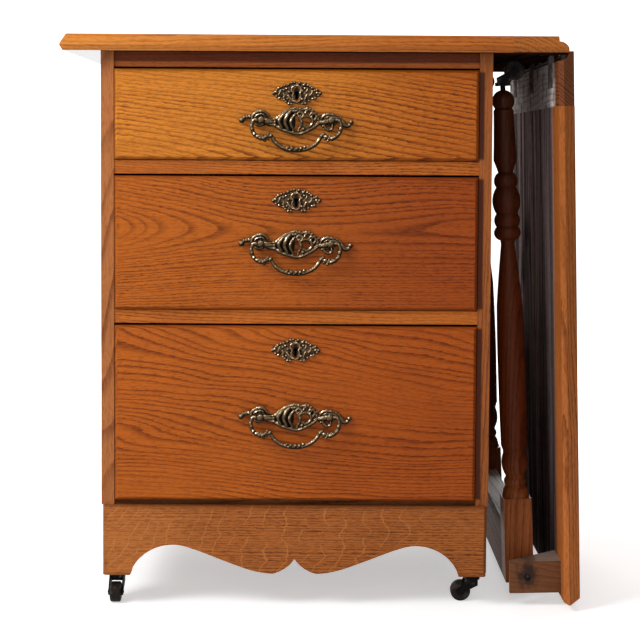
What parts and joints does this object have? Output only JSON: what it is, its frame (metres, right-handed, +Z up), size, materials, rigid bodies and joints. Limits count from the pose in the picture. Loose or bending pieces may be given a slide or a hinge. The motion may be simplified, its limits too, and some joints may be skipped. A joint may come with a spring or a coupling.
{
  "type": "sewing cabinet",
  "caption": "Small oak sewing cabinet on casters with stacked drawers, bail pulls and a drop leaf whose turned legs fold flat.",
  "frame": {"origin": "on the floor under the middle of the whole outline, with the leaf hanging", "axes": "+Z up, +Y to the back, +X to the right, seen from the drawers"},
  "size_m": [0.6884, 0.5, 0.76],
  "materials": {
    "oak_case": "satin",
    "oak_drawer": "satin",
    "oak_top": "satin",
    "leg_wood": "satin",
    "rough_wood": "matte",
    "plain_wood": "matte",
    "antique_brass": "aged",
    "iron": "aged",
    "caster_wheel": "worn"
  },
  "bodies": {
    "case": {"left_side_panel": "oak_case", "right_side_panel": "oak_case", "back_panel": "plain_wood", "bottom_board": "plain_wood", "top_rail": "oak_case", "upper_drawer_rail": "oak_case", "lower_drawer_rail": "oak_case", "drawer_runners": "plain_wood", "front_apron": "oak_case", "corner_posts": "plain_wood", "base_skirts": "plain_wood", "caster_plates": "iron", "top_panel": "oak_top", "top_end_strip": "oak_top", "hinge_top_flaps": "iron", "hinge_pins": "iron"},
    "leaf": {"leaf_hinge_strip": "oak_top", "leaf_panel": "oak_top", "hinge_leaf_flaps": "iron", "pivot_cheeks": "rough_wood", "pivot_pins": "iron"},
    "leg_frame": {"front_leg": "leg_wood", "rear_leg": "leg_wood", "leg_stretcher": "rough_wood"},
    "top_drawer": {"top_drawer_front": "oak_drawer", "top_drawer_sides": "plain_wood", "top_drawer_back": "plain_wood", "top_drawer_bottom": "plain_wood", "top_drawer_lock": "iron", "top_drawer_escutcheon": "antique_brass", "top_drawer_pull_plate": "antique_brass"},
    "top_drawer_bail": {"top_drawer_bail": "antique_brass"},
    "middle_drawer": {"middle_drawer_front": "oak_drawer", "middle_drawer_sides": "plain_wood", "middle_drawer_back": "plain_wood", "middle_drawer_bottom": "plain_wood", "middle_drawer_lock": "iron", "middle_drawer_escutcheon": "antique_brass", "middle_drawer_pull_plate": "antique_brass"},
    "middle_drawer_bail": {"middle_drawer_bail": "antique_brass"},
    "bottom_drawer": {"bottom_drawer_front": "oak_drawer", "bottom_drawer_sides": "plain_wood", "bottom_drawer_back": "plain_wood", "bottom_drawer_bottom": "plain_wood", "bottom_drawer_lock": "iron", "bottom_drawer_escutcheon": "antique_brass", "bottom_drawer_pull_plate": "antique_brass"},
    "bottom_drawer_bail": {"bottom_drawer_bail": "antique_brass"},
    "front_left_caster_swivel": {"front_left_caster_fork": "iron"},
    "front_left_caster_roll": {"front_left_caster_wheel": "caster_wheel"},
    "front_right_caster_swivel": {"front_right_caster_fork": "iron"},
    "front_right_caster_roll": {"front_right_caster_wheel": "caster_wheel"},
    "rear_left_caster_swivel": {"rear_left_caster_fork": "iron"},
    "rear_left_caster_roll": {"rear_left_caster_wheel": "caster_wheel"},
    "rear_right_caster_swivel": {"rear_right_caster_fork": "iron"},
    "rear_right_caster_roll": {"rear_right_caster_wheel": "caster_wheel"},
    "front_leg_caster_swivel": {"front_leg_caster_fork": "iron"},
    "front_leg_caster_roll": {"front_leg_caster_wheel": "caster_wheel"},
    "rear_leg_caster_swivel": {"rear_leg_caster_fork": "iron"},
    "rear_leg_caster_roll": {"rear_leg_caster_wheel": "caster_wheel"}
  },
  "joints": [
    {"name": "leaf_lift", "type": "hinge", "parent": "case", "child": "leaf", "pos_m": [0.30653, 0, 0.7405], "axis": [0, -1, 0], "range_deg": [0, 88.54]},
    {"name": "leg_fold", "type": "hinge", "parent": "leaf", "child": "leg_frame", "pos_m": [0.27687, 0, 0.03982], "axis": [0, -1, 0], "range_deg": [-2.5, 0.5]},
    {"name": "top_drawer_slide", "type": "slide", "parent": "case", "child": "top_drawer", "axis": [0, -1, 0], "range_m": [0, 0.33]},
    {"name": "top_drawer_bail_swing", "type": "hinge", "parent": "top_drawer", "child": "top_drawer_bail", "pos_m": [-0.03547, -0.242, 0.6485], "axis": [-1, 0, 0], "range_deg": [0, 90]},
    {"name": "middle_drawer_slide", "type": "slide", "parent": "case", "child": "middle_drawer", "axis": [0, -1, 0], "range_m": [0, 0.33]},
    {"name": "middle_drawer_bail_swing", "type": "hinge", "parent": "middle_drawer", "child": "middle_drawer_bail", "pos_m": [-0.03547, -0.242, 0.4865], "axis": [-1, 0, 0], "range_deg": [0, 90]},
    {"name": "bottom_drawer_slide", "type": "slide", "parent": "case", "child": "bottom_drawer", "axis": [0, -1, 0], "range_m": [0, 0.33]},
    {"name": "bottom_drawer_bail_swing", "type": "hinge", "parent": "bottom_drawer", "child": "bottom_drawer_bail", "pos_m": [-0.03547, -0.242, 0.25675], "axis": [-1, 0, 0], "range_deg": [0, 90]},
    {"name": "front_left_caster_turn", "type": "hinge", "parent": "case", "child": "front_left_caster_swivel", "pos_m": [-0.27647, -0.195, 0.042], "axis": [0, 0, 1], "continuous": true},
    {"name": "front_left_caster_spin", "type": "hinge", "parent": "front_left_caster_swivel", "child": "front_left_caster_roll", "pos_m": [-0.27647, -0.211, 0.0135], "axis": [1, 0, 0], "continuous": true},
    {"name": "front_right_caster_turn", "type": "hinge", "parent": "case", "child": "front_right_caster_swivel", "pos_m": [0.20553, -0.195, 0.042], "axis": [0, 0, 1], "continuous": true},
    {"name": "front_right_caster_spin", "type": "hinge", "parent": "front_right_caster_swivel", "child": "front_right_caster_roll", "pos_m": [0.18953, -0.195, 0.0135], "axis": [0, -1, 0], "continuous": true},
    {"name": "rear_left_caster_turn", "type": "hinge", "parent": "case", "child": "rear_left_caster_swivel", "pos_m": [-0.27647, 0.223, 0.042], "axis": [0, 0, 1], "continuous": true},
    {"name": "rear_left_caster_spin", "type": "hinge", "parent": "rear_left_caster_swivel", "child": "rear_left_caster_roll", "pos_m": [-0.26047, 0.223, 0.0135], "axis": [0, 1, 0], "continuous": true},
    {"name": "rear_right_caster_turn", "type": "hinge", "parent": "case", "child": "rear_right_caster_swivel", "pos_m": [0.20553, 0.223, 0.042], "axis": [0, 0, 1], "continuous": true},
    {"name": "rear_right_caster_spin", "type": "hinge", "parent": "rear_right_caster_swivel", "child": "rear_right_caster_roll", "pos_m": [0.18953, 0.223, 0.0135], "axis": [0, -1, 0], "continuous": true},
    {"name": "front_leg_caster_turn", "type": "hinge", "parent": "leg_frame", "child": "front_leg_caster_swivel", "pos_m": [0.2431, -0.16559, 0.69015], "axis": [0.0437, 0, -0.999], "range_deg": [-90, 90]},
    {"name": "front_leg_caster_spin", "type": "hinge", "parent": "front_leg_caster_swivel", "child": "front_leg_caster_roll", "pos_m": [0.25783, -0.16559, 0.71932], "axis": [0, -1, 0], "continuous": true},
    {"name": "rear_leg_caster_turn", "type": "hinge", "parent": "leg_frame", "child": "rear_leg_caster_swivel", "pos_m": [0.2431, 0.18159, 0.69015], "axis": [0.0437, 0, -0.999], "range_deg": [-90, 90]},
    {"name": "rear_leg_caster_spin", "type": "hinge", "parent": "rear_leg_caster_swivel", "child": "rear_leg_caster_roll", "pos_m": [0.25783, 0.18159, 0.71932], "axis": [0, -1, 0], "continuous": true}
  ]
}
